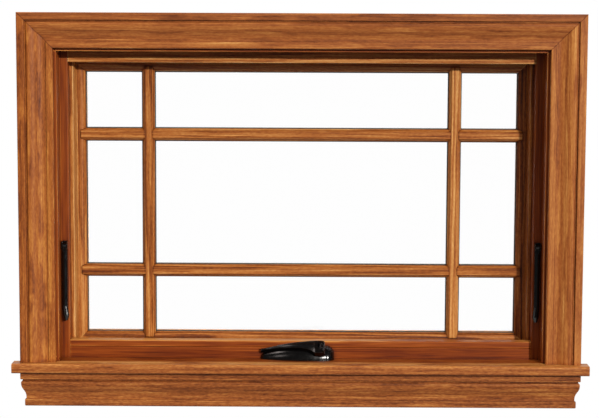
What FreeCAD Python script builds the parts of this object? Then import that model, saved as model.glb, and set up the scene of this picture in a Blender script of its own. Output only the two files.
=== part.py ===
import FreeCAD, Part
import math
import os
import Sketcher

# Top hung awning window with its inside trim. Millimetres.
# X runs along the wall to the right as seen from the room, Y out of the room, Z up.
# The origin is the centre of the frame's underside.

SIZES = {
    # Frame
    "clear_width": 876.3,        # between the side jambs
    "clear_height": 561.0,       # stool's top to head jamb
    "jamb_thickness": 19.0,
    "frame_depth": 116.0,
    "sill_thickness": 25.0,      # the part that carries the stool
    "sill_upstand": 21.0,        # step behind the stops
    "sill_fall": 19.0,           # slope of the outer part
    "sill_nose": 20.0,           # how far the sill stands out of the frame
    "sill_lift": 3.0,            # nose underside above the seat
    "kerf_width": 5.0,           # drip groove under the nose
    "kerf_depth": 4.0,
    # Inside trim
    "reveal": 5.0,               # casing edge back from the jamb face
    "casing_width": 63.5,
    "casing_thickness": 17.5,
    "band_width": 13.5,          # flat outer band
    "band_round": 1.5,
    "quirk_width": 2.5,
    "quirk_depth": 4.0,
    "shoulder_run": 4.0,
    "shoulder_rise": 2.9,
    "ogee_run": 27.0,
    "ogee_fall": 8.2,
    "valley_width": 4.5,
    "bead_rise": 2.3,
    "bead_round": 2.5,
    "stool_thickness": 17.5,
    "stool_nose": 14.5,          # past the casing's face
    "stool_horn": 13.5,          # past the casing's outer edge
    "stool_round": 4.0,
    # Stops
    "stop_setback": 37.0,        # wall plane to the face of the stops
    "stop_depth": 22.0,
    "stop_round": 2.0,
    "side_stop_width": 15.0,
    "head_stop_height": 20.5,
    "sill_stop_height": 12.0,
    "cover_height": 20.5,        # board below the sill stop, above the stool
    "joint_bevel": 1.0,
    # Sash
    "sash_gap": 3.0,             # head jamb to sash
    "sash_side_gap": 7.25,       # side jamb to sash
    "sash_sill_gap": 3.3,        # crest of the sill to sash
    "sash_member": 34.0,         # outer edge to daylight
    "sash_thickness": 50.0,
    "sticking_width": 3.5,
    "bead_setback": 21.0,        # sash face to the glazing bead
    "bead_width": 16.5,
    "bead_flat": 6.3,
    "bead_depth": 10.0,
    "bead_edge": 3.0,            # bead's thickness at the glass
    "pane_thickness": 3.0,
    "pane_space": 6.0,
    "pane_clearance": 3.0,
    "spacer_width": 13.0,
    # Bars
    "corner_lite": 104.5,        # square lite in each corner
    "bar_width": 22.2,
    "bar_flat": 12.5,
    "bar_depth": 13.0,
    "bar_bevel": 6.0,
    "bar_lap": 8.9,              # run of the bar over the glazing bead
    "outer_bar_depth": 6.0,
    "outer_bar_bevel": 3.0,
    # Sash locks
    "lock_rise": 71.0,           # stool's top to the lever's lower end
    "lock_height": 145.0,
    "lock_width": 10.6,          # of the head block
    "strap_width": 8.4,
    "strap_rise": 20.0,          # lever's lower end to the strap's
    "lock_plate": 3.0,
    "ear_thickness": 1.5,
    "ear_height": 14.0,
    "ear_depth": 9.5,
    "pin_offset": 5.5,           # plate to the lever's pin
    "pin_radius": 1.5,
    "pin_play": 0.1,
    "lever_head": 4.0,           # radius of the lever's head
    "lever_neck": 6.6,           # width between the ears
    "lever_shoulder": 10.5,      # pin to the lever's full width
    "lever_width": 9.4,
    "lever_thickness": 5.0,
    "tip_bend": 26.0,            # lower end to where the tip bends off
    "tip_rise": 9.5,             # lower end to the middle of the tip
    "tip_width": 11.0,
    "tip_thickness": 6.0,
    "tip_flare": 4.0,            # how far the tip stands out
    "tip_lean": 2.2,             # how far it leans to the window's middle
    "tip_end_width": 6.0,
    "tip_end_thickness": 4.0,
    "lever_crown": 2.0,          # rounding of the lever's front
    # Crank
    "crank_tilt": 42.0,          # degrees the arm leans into the room
    "crank_left": 73.5,          # centre line to the cover's left end
    "cover_length": 135.5,
    "cover_nose": 13.0,          # radius of the left end
    "cover_nose_run": 7.5,
    "cover_nose_rise": 11.8,
    "cover_crown": 86.0,         # left end to the crown
    "cover_radius": 28.0,
    "cover_tail_run": 34.0,      # crown to the round right end
    "cover_tail_fall": 3.5,
    "arm_back": 11.6,            # arm's upper edge at the wide end
    "arm_tip": 1.0,
    "arm_tip_back": 8.0,
    "arm_tip_width": 4.5,
    "arm_tip_lift": 10.0,
    "arm_tip_thickness": 8.0,
    "arm_finger": 16.0,          # left end to where the arm starts to rise
    "arm_finger_back": 9.5,
    "arm_finger_width": 4.6,
    "arm_finger_lift": 15.0,
    "arm_finger_thickness": 5.5,
    "arm_mid": 46.0,
    "arm_mid_back": 9.8,
    "arm_mid_width": 9.0,
    "arm_mid_lift": 25.0,
    "arm_mid_thickness": 5.5,
    "arm_blade": 80.0,
    "arm_blade_width": 15.6,
    "arm_blade_lift": 29.0,
    "arm_blade_thickness": 7.0,
    "arm_end": 100.0,
    "arm_end_width": 27.4,
    "arm_end_lift": 28.2,
    "arm_crown": 1.0,            # rounding of the arm's outer face
    "hub_at": 112.0,             # left end to the arm's pin
    "hub_lift": 32.0,
    "hub_radius": 6.2,
    "hub_play": 0.8,
    "hub_tongue": 9.0,           # width of the knuckle in the arm's fork
    "hub_pin": 2.0,
}


class Size:
    """A size as its number and as the sheet expression that gives it."""

    def __init__(self, number, text):
        self.number = number
        self.text = text

    @staticmethod
    def of(value):
        if isinstance(value, Size):
            return value
        return Size(float(value), repr(float(value)))

    def join(self, sign, other, number):
        return Size(number, "(" + self.text + sign + other.text + ")")

    def __add__(self, other):
        other = Size.of(other)
        return self.join(" + ", other, self.number + other.number)

    def __sub__(self, other):
        other = Size.of(other)
        return self.join(" - ", other, self.number - other.number)

    def __mul__(self, other):
        other = Size.of(other)
        return self.join(" * ", other, self.number * other.number)

    def __truediv__(self, other):
        other = Size.of(other)
        return self.join(" / ", other, self.number / other.number)

    def __neg__(self):
        return Size(-self.number, "(-" + self.text + ")")


class Sheet:
    """The sizes by name."""


doc = FreeCAD.newDocument("awning_window")
table = doc.addObject("Spreadsheet::Sheet", "Sizes")
S = Sheet()
for row, (size_name, size_number) in enumerate(SIZES.items(), start=1):
    table.set("A" + str(row), size_name)
    table.set("B" + str(row), str(size_number))
    table.setAlias("B" + str(row), size_name)
    setattr(S, size_name, Size(size_number, "Sizes." + size_name))
doc.recompute()

NONE = Size.of(0.0)
PIECES = []


def arc_radius(run, rise):
    """Radius of an arc that starts level and gains this rise over this run."""
    return (run * run + rise * rise) / (rise * 2)


def bind(target, name, size):
    setattr(target, name, size.number)
    target.setExpression(name, size.text)


def corner(x, y, radius=None, turn=0):
    """A corner of an outline; with a radius, an arc leads to the next corner."""
    return Size.of(x), Size.of(y), radius, turn


def segment(first, second):
    """Line or arc between two corners, and whether the arc runs backwards."""
    start = FreeCAD.Vector(first[0].number, first[1].number, 0)
    end = FreeCAD.Vector(second[0].number, second[1].number, 0)
    if first[2] is None:
        return Part.LineSegment(start, end), False
    chord = end - start
    side = FreeCAD.Vector(-chord.y, chord.x, 0).normalize() * first[3]
    reach = math.sqrt(max(first[2].number ** 2 - chord.Length ** 2 / 4, 0.0))
    centre = (start + end) * 0.5 + side * reach
    circle = Part.Circle(centre, FreeCAD.Vector(0, 0, 1), first[2].number)
    if first[3] < 0:
        start, end = end, start
    angles = [math.atan2(p.y - centre.y, p.x - centre.x) for p in (start, end)]
    if angles[1] < angles[0]:
        angles[1] += 2 * math.pi
    return Part.ArcOfCircle(circle, angles[0], angles[1]), first[3] < 0


def hold(sketch, kind, geometry, point, size):
    index = sketch.addConstraint(Sketcher.Constraint(kind, -1, 1, geometry, point, size.number))
    sketch.setExpression("Constraints[" + str(index) + "]", size.text)


def outline(sketch, corners):
    """Closed outline whose corners are all set by the sheet."""
    runs = []
    for place, first in enumerate(corners):
        shape, backwards = segment(first, corners[(place + 1) % len(corners)])
        index = sketch.addGeometry(shape, False)
        runs.append((index, 2, 1) if backwards else (index, 1, 2))
    for place, first in enumerate(corners):
        index, start, _ = runs[place]
        before, _, finish = runs[place - 1]
        sketch.addConstraint(Sketcher.Constraint("Coincident", before, finish, index, start))
        hold(sketch, "DistanceX", index, start, first[0])
        hold(sketch, "DistanceY", index, start, first[1])
        if first[2] is not None:
            rule = sketch.addConstraint(Sketcher.Constraint("Radius", index, first[2].number))
            sketch.setExpression("Constraints[" + str(rule) + "]", first[2].text)


def round_hole(sketch, x, y, radius):
    circle = Part.Circle(FreeCAD.Vector(x.number, y.number, 0), FreeCAD.Vector(0, 0, 1), radius.number)
    index = sketch.addGeometry(circle, False)
    hold(sketch, "DistanceX", index, 3, x)
    hold(sketch, "DistanceY", index, 3, y)
    rule = sketch.addConstraint(Sketcher.Constraint("Radius", index, radius.number))
    sketch.setExpression("Constraints[" + str(rule) + "]", radius.text)


def new_sketch(body, role, name, lift=None):
    """Sketch on one of the body's own planes, or at a height above it."""
    plane = [item for item in body.Origin.OriginFeatures if item.Role == role][0]
    sketch = body.newObject("Sketcher::SketchObject", body.Label + "_" + name)
    sketch.AttachmentSupport = (plane, [""])
    sketch.MapMode = "FlatFace"
    if lift is not None:
        sketch.AttachmentOffset.Base.z = lift.number
        sketch.setExpression("AttachmentOffset.Base.z", lift.text)
    return sketch


def new_body(label):
    body = doc.addObject("PartDesign::Body", label)
    body.Label = label
    return body


def pad(body, sketch, length, both=False, backwards=False):
    feature = body.newObject("PartDesign::Pad", sketch.Name + "_pad")
    feature.Profile = sketch
    bind(feature, "Length", length)
    feature.SideType = "Symmetric" if both else "One side"
    feature.Reversed = backwards
    sketch.Visibility = False
    doc.recompute()
    return feature


def pocket(body, sketch, both=False):
    """Cuts the sketch right through; stops the build where it cuts nothing."""
    before = body.Shape.Volume
    feature = body.newObject("PartDesign::Pocket", sketch.Name + "_pocket")
    feature.Profile = sketch
    feature.Type = "ThroughAll"
    feature.SideType = "Symmetric" if both else "One side"
    sketch.Visibility = False
    doc.recompute()
    if body.Shape.Volume > before - 1e-3:
        raise RuntimeError(sketch.Name + " cuts nothing")
    return feature


def round_edges(body, radius, wanted, kind="Fillet"):
    """Rounds or bevels the edges of the body's last feature that are wanted."""
    base = body.Tip
    names = ["Edge" + str(i) for i, edge in enumerate(base.Shape.Edges, start=1) if wanted(edge)]
    if not names:
        raise RuntimeError(body.Label + " has no edge to round")
    feature = body.newObject("PartDesign::" + kind, body.Label + "_" + kind.lower() + "_" + str(len(body.Group)))
    feature.Base = (base, names)
    bind(feature, "Radius" if kind == "Fillet" else "Size", radius)
    doc.recompute()
    return feature


def edge_at(**spans):
    """Picks edges whose ends all lie within 1 micron of the given coordinates."""
    def wanted(edge):
        for axis, value in spans.items():
            for vertex in edge.Vertexes:
                if abs(getattr(vertex.Point, axis) - value) > 1e-3:
                    return False
        return True
    return wanted


def place(item, x, y, z, axis=(0, 1, 0), turn=0.0):
    spot = FreeCAD.Vector(x.number, y.number, z.number)
    if isinstance(turn, Size):
        item.setExpression("Placement.Rotation.Angle", turn.text)
        turn = turn.number
    item.Placement = FreeCAD.Placement(spot, FreeCAD.Rotation(FreeCAD.Vector(*axis), turn))
    for name, size in zip("xyz", (x, y, z)):
        item.setExpression("Placement.Base." + name, size.text)


def keep(item):
    PIECES.append(item)
    return item


# A long piece is drawn with x from its outer edge to the opening, y from its front to its
# back and z along it. Turned about Y by one of these it runs up the left side, along the
# head to the right, down the right side or along the bottom to the left.
LEFT, HEAD, RIGHT, BOTTOM = 0.0, 90.0, 180.0, 270.0


def long_piece(label, section, length, mitre=None, ends=(True, True)):
    """Pads a section along z; with a mitre width, cuts its ends back at 45 degrees."""
    body = new_body(label)
    profile = new_sketch(body, "XY_Plane", "section")
    outline(profile, section)
    pad(body, profile, length)
    if mitre is not None:
        cut = new_sketch(body, "XZ_Plane", "mitres")
        if ends[0]:
            outline(cut, [corner(0, 0), corner(mitre, 0), corner(mitre, mitre)])
        if ends[1]:
            outline(cut, [corner(0, length), corner(mitre, length - mitre), corner(mitre, length)])
        pocket(body, cut)
    return body


def rectangle(width, depth):
    return [corner(0, 0), corner(width, 0), corner(width, depth), corner(0, depth)]


# Planes and heights that several pieces share
clear_half = S.clear_width / 2
frame_half = clear_half + S.jamb_thickness
wall_face = -(S.frame_depth / 2)
stool_top = S.sill_thickness + S.stool_thickness
head_under = stool_top + S.clear_height
stop_face = wall_face + S.stop_setback
sash_face = stop_face + S.stop_depth
bead_face = sash_face + S.bead_setback
glass_face = bead_face + S.bead_depth
glass_thickness = S.pane_thickness * 2 + S.pane_space
glass_back = glass_face + glass_thickness
sill_crest = S.sill_thickness + S.sill_upstand
sash_half = clear_half - S.sash_side_gap
sash_top = head_under - S.sash_gap
sash_base = sill_crest + S.sash_sill_gap
daylight_half = sash_half - S.sash_member
daylight_top = sash_top - S.sash_member
daylight_base = sash_base + S.sash_member
daylight_width = daylight_half * 2
daylight_height = daylight_top - daylight_base

# Frame: head and sill run past the side jambs
jamb_height = head_under - S.sill_thickness
left_jamb = keep(long_piece("left_jamb", rectangle(S.jamb_thickness, S.frame_depth), jamb_height))
place(left_jamb, -frame_half, wall_face, S.sill_thickness, turn=LEFT)
right_jamb = keep(long_piece("right_jamb", rectangle(S.jamb_thickness, S.frame_depth), jamb_height))
place(right_jamb, frame_half, wall_face, head_under, turn=RIGHT)
head_jamb = keep(long_piece("head_jamb", rectangle(S.jamb_thickness, S.frame_depth), frame_half * 2))
place(head_jamb, -frame_half, wall_face, head_under + S.jamb_thickness, turn=HEAD)

step_at = S.stop_setback + S.stop_depth
sill_end = S.frame_depth + S.sill_nose
kerf_at = S.frame_depth + (S.sill_nose - S.kerf_width) / 2
sill_section = [
    corner(0, 0),
    corner(S.sill_thickness, 0),
    corner(S.sill_thickness, step_at),
    corner(sill_crest, step_at),
    corner(sill_crest - S.sill_fall, sill_end),
    corner(S.sill_lift, sill_end),
    corner(S.sill_lift, kerf_at + S.kerf_width),
    corner(S.sill_lift + S.kerf_depth, kerf_at + S.kerf_width),
    corner(S.sill_lift + S.kerf_depth, kerf_at),
    corner(S.sill_lift, kerf_at),
    corner(S.sill_lift, S.frame_depth),
    corner(0, S.frame_depth),
]
frame_sill = new_body("frame_sill")
sill_profile = new_sketch(frame_sill, "XY_Plane", "section")
outline(sill_profile, sill_section)
pad(frame_sill, sill_profile, frame_half * 2)
# the step and the slope stop at the side jambs
jamb_seat = new_sketch(frame_sill, "XZ_Plane", "jamb_seats")
sill_length = frame_half * 2
for near, far in ((NONE, S.jamb_thickness), (sill_length - S.jamb_thickness, sill_length)):
    seat = [corner(S.sill_thickness, near), corner(sill_crest, near)]
    seat += [corner(sill_crest, far), corner(S.sill_thickness, far)]
    outline(jamb_seat, seat)
pocket(frame_sill, jamb_seat)
place(keep(frame_sill), frame_half, wall_face, NONE, turn=BOTTOM)


# Casing: flat band, quirk, shoulder, ogee, valley and a rounded inner bead
def casing_front():
    """Corners of the moulded face, x from the thick edge and y from the front."""
    shoulder_x = S.band_width + S.quirk_width
    ogee_x = shoulder_x + S.shoulder_run
    ogee_y = S.quirk_depth - S.shoulder_rise
    half_run = S.ogee_run / 2
    half_fall = S.ogee_fall / 2
    bend = arc_radius(half_run, half_fall)
    valley_x = ogee_x + S.ogee_run
    valley_y = ogee_y + S.ogee_fall
    bead_x = valley_x + S.valley_width
    bead_y = valley_y - S.bead_rise
    return [
        corner(0, S.band_round, S.band_round, 1),
        corner(S.band_round, 0),
        corner(S.band_width - S.band_round, 0, S.band_round, 1),
        corner(S.band_width, S.band_round),
        corner(S.band_width, S.quirk_depth),
        corner(shoulder_x, S.quirk_depth, arc_radius(S.shoulder_run, S.shoulder_rise), 1),
        corner(ogee_x, ogee_y, bend, 1),
        corner(ogee_x + half_run, ogee_y + half_fall, bend, -1),
        corner(valley_x, valley_y),
        corner(bead_x, valley_y),
        corner(bead_x, bead_y),
        corner(S.casing_width - S.bead_round, bead_y, S.bead_round, 1),
        corner(S.casing_width, bead_y + S.bead_round),
    ]


casing_section = [corner(0, S.casing_thickness)] + casing_front()
casing_section += [corner(S.casing_width, S.casing_thickness)]
casing_half = clear_half + S.reveal + S.casing_width
casing_top = head_under + S.reveal + S.casing_width
casing_face = wall_face - S.casing_thickness
casing_height = casing_top - stool_top
head_casing = keep(long_piece("head_casing", casing_section, casing_half * 2, S.casing_width))
place(head_casing, -casing_half, casing_face, casing_top, turn=HEAD)
left_casing = keep(long_piece("left_casing", casing_section, casing_height, S.casing_width, (False, True)))
place(left_casing, -casing_half, casing_face, stool_top, turn=LEFT)
right_casing = keep(long_piece("right_casing", casing_section, casing_height, S.casing_width, (True, False)))
place(right_casing, casing_half, casing_face, casing_top, turn=RIGHT)

# Apron: the same moulding, thick edge up, its ends cut to its own profile
apron = long_piece("apron", casing_section, casing_half * 2)
returns = new_sketch(apron, "XZ_Plane", "returns")
front = casing_front()
apron_length = casing_half * 2
spare = S.band_round
outline(returns, [corner(0, -spare)] + front + [corner(S.casing_width, -spare)])
far_end = [corner(x, apron_length - y, bend, -turn) for x, y, bend, turn in front]
beyond = apron_length + spare
outline(returns, [corner(0, beyond)] + far_end + [corner(S.casing_width, beyond)])
pocket(apron, returns)
place(keep(apron), -casing_half, casing_face, S.sill_thickness, turn=HEAD)

# Stool: horns past the casings, tongue between the jambs back to the stops
stool = new_body("stool")
stool_plan = new_sketch(stool, "XY_Plane", "plan")
stool_half = casing_half + S.stool_horn
stool_front = S.stool_nose + S.casing_thickness
stool_back = stool_front + S.stop_setback
outline(stool_plan, [
    corner(0, 0),
    corner(stool_half * 2, 0),
    corner(stool_half * 2, stool_front),
    corner(stool_half + clear_half, stool_front),
    corner(stool_half + clear_half, stool_back),
    corner(stool_half - clear_half, stool_back),
    corner(stool_half - clear_half, stool_front),
    corner(0, stool_front),
])
pad(stool, stool_plan, S.stool_thickness)
round_edges(stool, S.stool_round, edge_at(y=0.0, z=S.stool_thickness.number))
round_edges(stool, S.stool_round, edge_at(y=0.0, z=0.0))
place(keep(stool), -stool_half, casing_face - S.stool_nose, S.sill_thickness)

# Stops between the jambs, with the room-side arris rounded
stop_height = head_under - S.sill_thickness


def stop(label, width, length):
    body = long_piece(label, rectangle(width, S.stop_depth), length)
    round_edges(body, S.stop_round, edge_at(x=width.number, y=0.0))
    return keep(body)


side_stop_height = stop_height
place(stop("left_stop", S.side_stop_width, side_stop_height), -clear_half, stop_face, S.sill_thickness, turn=LEFT)
place(stop("right_stop", S.side_stop_width, side_stop_height), clear_half, stop_face, head_under, turn=RIGHT)
between = S.clear_width - S.side_stop_width * 2
place(stop("head_stop", S.head_stop_height, between), -(between / 2), stop_face, head_under, turn=HEAD)

# Operator cover board and the sill stop on it, with a small V joint between them
cover_board = long_piece("cover_board", rectangle(S.stool_thickness + S.cover_height, S.stop_depth), between)
board_top = S.stool_thickness + S.cover_height
round_edges(cover_board, S.joint_bevel, edge_at(x=board_top.number, y=0.0), "Chamfer")
place(keep(cover_board), between / 2, stop_face, S.sill_thickness, turn=BOTTOM)
sill_stop = long_piece("sill_stop", rectangle(S.sill_stop_height, S.stop_depth), between)
round_edges(sill_stop, S.joint_bevel, edge_at(x=0.0, y=0.0), "Chamfer")
round_edges(sill_stop, S.stop_round, edge_at(x=S.sill_stop_height.number, y=0.0))
place(keep(sill_stop), between / 2, stop_face, stool_top + S.cover_height, turn=BOTTOM)

# Sash: mitred members with a bevelled sticking, a rabbet for the glass and an outer lip
rabbet = S.sash_member - S.bead_width
rabbet_depth = S.bead_setback + S.bead_depth + glass_thickness
sash_section = [
    corner(0, 0),
    corner(rabbet - S.sticking_width, 0),
    corner(rabbet, S.bead_setback),
    corner(rabbet, rabbet_depth),
    corner(S.sash_member, rabbet_depth),
    corner(S.sash_member, S.sash_thickness),
    corner(0, S.sash_thickness),
]
bead_run = S.bead_width - S.bead_flat
bead_drop = S.bead_depth - S.bead_edge
bead_section = [
    corner(0, 0),
    corner(S.bead_flat, 0, arc_radius(bead_run, bead_drop), 1),
    corner(S.bead_width, bead_drop),
    corner(S.bead_width, S.bead_depth),
    corner(0, S.bead_depth),
]


def mitred_ring(names, section, member, half, top, base, front):
    """Four mitred pieces round an opening: left, top, right and bottom."""
    height = top - base
    ring = []
    spots = ((-half, base, LEFT), (-half, top, HEAD), (half, top, RIGHT), (half, base, BOTTOM))
    for name, (x, z, turn) in zip(names, spots):
        length = half * 2 if turn in (HEAD, BOTTOM) else height
        body = keep(long_piece(name, section, length, member))
        place(body, x, front, z, turn=turn)
        ring.append(body)
    return ring


sash_names = ("sash_left_stile", "sash_top_rail", "sash_right_stile", "sash_bottom_rail")
mitred_ring(sash_names, sash_section, S.sash_member, sash_half, sash_top, sash_base, sash_face)
bead_names = ("left_glazing_bead", "top_glazing_bead", "right_glazing_bead", "bottom_glazing_bead")
bead_half = daylight_half + S.bead_width
bead_top = daylight_top + S.bead_width
bead_base = daylight_base - S.bead_width
beads = mitred_ring(bead_names, bead_section, S.bead_width, bead_half, bead_top, bead_base, bead_face)


# Insulating glass: two panes and the spacer sealed between them
def box(label, half, base, top, front, depth):
    item = doc.addObject("Part::Box", label)
    item.Label = label
    bind(item, "Length", half * 2)
    bind(item, "Width", depth)
    bind(item, "Height", top - base)
    place(item, -half, front, base)
    return item


pane_half = bead_half - S.pane_clearance
pane_base = bead_base + S.pane_clearance
pane_top = bead_top - S.pane_clearance
space_face = glass_face + S.pane_thickness
keep(box("inner_pane", pane_half, pane_base, pane_top, glass_face, S.pane_thickness))
keep(box("outer_pane", pane_half, pane_base, pane_top, space_face + S.pane_space, S.pane_thickness))
spacer_blank = box("spacer_blank", pane_half, pane_base, pane_top, space_face, S.pane_space)
edge = S.spacer_width
spacer_hole = box("spacer_hole", pane_half - edge, pane_base + edge, pane_top - edge, space_face, S.pane_space)


def cut(label, base, tools):
    """Boolean cut of one piece by others."""
    tool = tools[0]
    if len(tools) > 1:
        tool = doc.addObject("Part::MultiFuse", label + "_tools")
        tool.Shapes = tools
    item = doc.addObject("Part::Cut", label)
    item.Label = label
    item.Base = base
    item.Tool = tool
    doc.recompute()
    return item


keep(cut("glass_spacer", spacer_blank, [spacer_hole]))


# Bars: bevelled on both edges; the uprights run through, the cross bars are coped to them
def bar_section(depth, bevel, front_first):
    side = (S.bar_width - S.bar_flat) / 2
    shape = [
        (NONE, depth),
        (NONE, bevel),
        (side, NONE),
        (side + S.bar_flat, NONE),
        (S.bar_width, bevel),
        (S.bar_width, depth),
    ]
    if front_first:
        return [corner(x, y) for x, y in shape]
    return [corner(x, depth - y) for x, y in reversed(shape)]


def bar(label, section, length, x, y, z, turn):
    body = long_piece(label, section, length)
    place(body, x, y, z, turn=turn)
    return body


bar_x = daylight_half - S.corner_lite
upper_z = daylight_top - S.corner_lite
lower_z = daylight_base + S.corner_lite + S.bar_width
bar_face = glass_face - S.bar_depth
inner_section = bar_section(S.bar_depth, S.bar_bevel, True)
inner_height = daylight_height + S.bar_lap * 2
inner_width = daylight_width + S.bar_lap * 2
foot = daylight_base - S.bar_lap
left_end = -(daylight_half + S.bar_lap)
left_blank = bar("left_bar_blank", inner_section, inner_height, -bar_x, bar_face, foot, LEFT)
right_blank = bar("right_bar_blank", inner_section, inner_height, bar_x - S.bar_width, bar_face, foot, LEFT)
upper_blank = bar("upper_bar_blank", inner_section, inner_width, left_end, bar_face, upper_z, HEAD)
lower_blank = bar("lower_bar_blank", inner_section, inner_width, left_end, bar_face, lower_z, HEAD)
left_bar = keep(cut("left_bar", left_blank, [beads[1], beads[3]]))
right_bar = keep(cut("right_bar", right_blank, [beads[1], beads[3]]))
keep(cut("upper_bars", upper_blank, [left_bar, right_bar, beads[0], beads[2]]))
keep(cut("lower_bars", lower_blank, [left_bar, right_bar, beads[0], beads[2]]))

outer_section = bar_section(S.outer_bar_depth, S.outer_bar_bevel, False)
outer_left = bar("outer_left_bar", outer_section, daylight_height, -bar_x, glass_back, daylight_base, LEFT)
outer_right_x = bar_x - S.bar_width
outer_right = bar("outer_right_bar", outer_section, daylight_height, outer_right_x, glass_back, daylight_base, LEFT)
keep(outer_left)
keep(outer_right)
outer_upper = bar("outer_upper_blank", outer_section, daylight_width, -daylight_half, glass_back, upper_z, HEAD)
outer_lower = bar("outer_lower_blank", outer_section, daylight_width, -daylight_half, glass_back, lower_z, HEAD)
keep(cut("outer_upper_bars", outer_upper, [outer_left, outer_right]))
keep(cut("outer_lower_bars", outer_lower, [outer_left, outer_right]))

# Sash locks: a strap with two ears at its head and a lever that hangs on a pin between them
lock_x = clear_half - S.side_stop_width / 2
lock_base = stool_top + S.lock_rise
pin_height = S.lock_height - S.ear_height / 2


def lever_section(body, name, height, width, thickness, out, lean):
    """Flat back, rounded front; out moves the section into the room, lean moves it sideways."""
    sketch = new_sketch(body, "XY_Plane", name, lift=height)
    half = width / 2
    back = thickness / 2 - out
    front = back - thickness + S.lever_crown
    outline(sketch, [
        corner(lean + half, back),
        corner(lean - half, back),
        corner(lean - half, front, arc_radius(half, S.lever_crown), 1),
        corner(lean + half, front),
    ])
    sketch.Visibility = False
    return sketch


def lock(side, sign):
    plate = new_body(side + "_lock_plate")
    face = new_sketch(plate, "XZ_Plane", "face")
    ear_base = S.lock_height - S.ear_height
    strap = (S.lock_width - S.strap_width) / 2
    outline(face, [
        corner(strap, S.strap_rise),
        corner(S.lock_width - strap, S.strap_rise),
        corner(S.lock_width - strap, ear_base),
        corner(S.lock_width, ear_base),
        corner(S.lock_width, S.lock_height),
        corner(0, S.lock_height),
        corner(0, ear_base),
        corner(strap, ear_base),
    ])
    pad(plate, face, S.lock_plate)
    ears = new_sketch(plate, "XZ_Plane", "ears")
    for near in (NONE, S.lock_width - S.ear_thickness):
        outline(ears, [
            corner(near, ear_base),
            corner(near + S.ear_thickness, ear_base),
            corner(near + S.ear_thickness, S.lock_height),
            corner(near, S.lock_height),
        ])
    pad(plate, ears, S.lock_plate + S.ear_depth)
    holes = new_sketch(plate, "YZ_Plane", "pin_holes")
    round_hole(holes, -(S.lock_plate + S.pin_offset), pin_height, S.pin_radius + S.pin_play)
    pocket(plate, holes, both=True)
    ear_front = -(S.lock_plate + S.ear_depth).number
    round_edges(plate, S.lever_crown, lambda edge: all(abs(v.Point.y - ear_front) < 1e-3 for v in edge.Vertexes)
                and abs(edge.Vertexes[0].Point.x - edge.Vertexes[-1].Point.x) > 1e-3)
    place(keep(plate), lock_x * sign - S.lock_width / 2, stop_face, lock_base)

    lever = new_body(side + "_lock_lever")
    slim = S.lever_thickness
    lean = S.tip_lean * -sign
    shoulder = pin_height - S.lever_shoulder
    sections = [
        lever_section(lever, "end", NONE, S.tip_end_width, S.tip_end_thickness, S.tip_flare, lean),
        lever_section(lever, "tip", S.tip_rise, S.tip_width, S.tip_thickness, S.tip_flare, lean),
        lever_section(lever, "bend", S.tip_bend, S.lever_width, slim, NONE, NONE),
        lever_section(lever, "shoulder", shoulder, S.lever_width, slim, NONE, NONE),
    ]
    loft = lever.newObject("PartDesign::AdditiveLoft", lever.Label + "_loft")
    loft.Profile = sections[0]
    loft.Sections = sections[1:]
    loft.Ruled = True
    doc.recompute()
    neck = new_sketch(lever, "YZ_Plane", "neck")
    neck_foot = shoulder - S.lever_crown
    outline(neck, [
        corner(-slim / 2, neck_foot),
        corner(slim / 2, neck_foot),
        corner(slim / 2, pin_height),
        corner(-slim / 2, pin_height),
    ])
    pad(lever, neck, S.lever_neck, both=True)
    head = new_sketch(lever, "YZ_Plane", "head")
    round_hole(head, NONE, pin_height, S.lever_head)
    pad(lever, head, S.lever_neck, both=True)
    pin = new_sketch(lever, "YZ_Plane", "pin")
    round_hole(pin, NONE, pin_height, S.pin_radius)
    pad(lever, pin, S.lock_width, both=True)
    place(keep(lever), lock_x * sign, stop_face - S.lock_plate - S.pin_offset, lock_base)


lock("left", -1)
lock("right", 1)

# Crank: a boat-shaped cover in the corner of the stool and the board, and a folding arm
cover = new_body("crank_cover")
hull = new_sketch(cover, "XZ_Plane", "hull")
rise_run = S.cover_crown - S.cover_nose_run
rise = S.cover_radius - S.cover_nose_rise
tail_x = S.cover_crown + S.cover_tail_run
tail_z = S.cover_radius - S.cover_tail_fall
end_round = S.cover_length - tail_x
outline(hull, [
    corner(0, 0),
    corner(S.cover_length, 0),
    corner(S.cover_length, tail_z - end_round, end_round, 1),
    corner(tail_x, tail_z, arc_radius(S.cover_tail_run, S.cover_tail_fall), 1),
    corner(S.cover_crown, S.cover_radius, arc_radius(rise_run, rise), 1),
    corner(S.cover_nose_run, S.cover_nose_rise, S.cover_nose, 1),
])
turned = cover.newObject("PartDesign::Revolution", "crank_cover_turn")
turned.Profile = hull
turned.ReferenceAxis = (hull, ["H_Axis"])
turned.Angle = 90.0
hull.Visibility = False
doc.recompute()
place(keep(cover), -S.crank_left, stop_face, stool_top)

# The arm and its hub lean into the room: y runs up the slope, z away from the corner.
# The arm's wide end is a fork that swings on a pin through the hub's tongue.
arm = new_body("crank_arm")
fork_top = S.hub_lift + S.hub_radius
stations = (
    ("tip", S.arm_tip, S.arm_tip_back, S.arm_tip_width, S.arm_tip_lift, S.arm_tip_thickness),
    ("finger", S.arm_finger, S.arm_finger_back, S.arm_finger_width, S.arm_finger_lift, S.arm_finger_thickness),
    ("middle", S.arm_mid, S.arm_mid_back, S.arm_mid_width, S.arm_mid_lift, S.arm_mid_thickness),
    ("blade", S.arm_blade, S.arm_back, S.arm_blade_width, S.arm_blade_lift, S.arm_blade_thickness),
    ("end", S.arm_end, S.arm_back, S.arm_end_width, S.arm_end_lift, fork_top - S.arm_end_lift),
)
sections = []
for name, at, back, width, lift, thickness in stations:
    section = new_sketch(arm, "YZ_Plane", name, lift=at)
    front = back - width
    outline(section, [
        corner(front, lift),
        corner(back, lift),
        corner(back, lift + thickness, arc_radius(width / 2, S.arm_crown), 1),
        corner(front, lift + thickness),
    ])
    section.Visibility = False
    sections.append(section)
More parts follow.
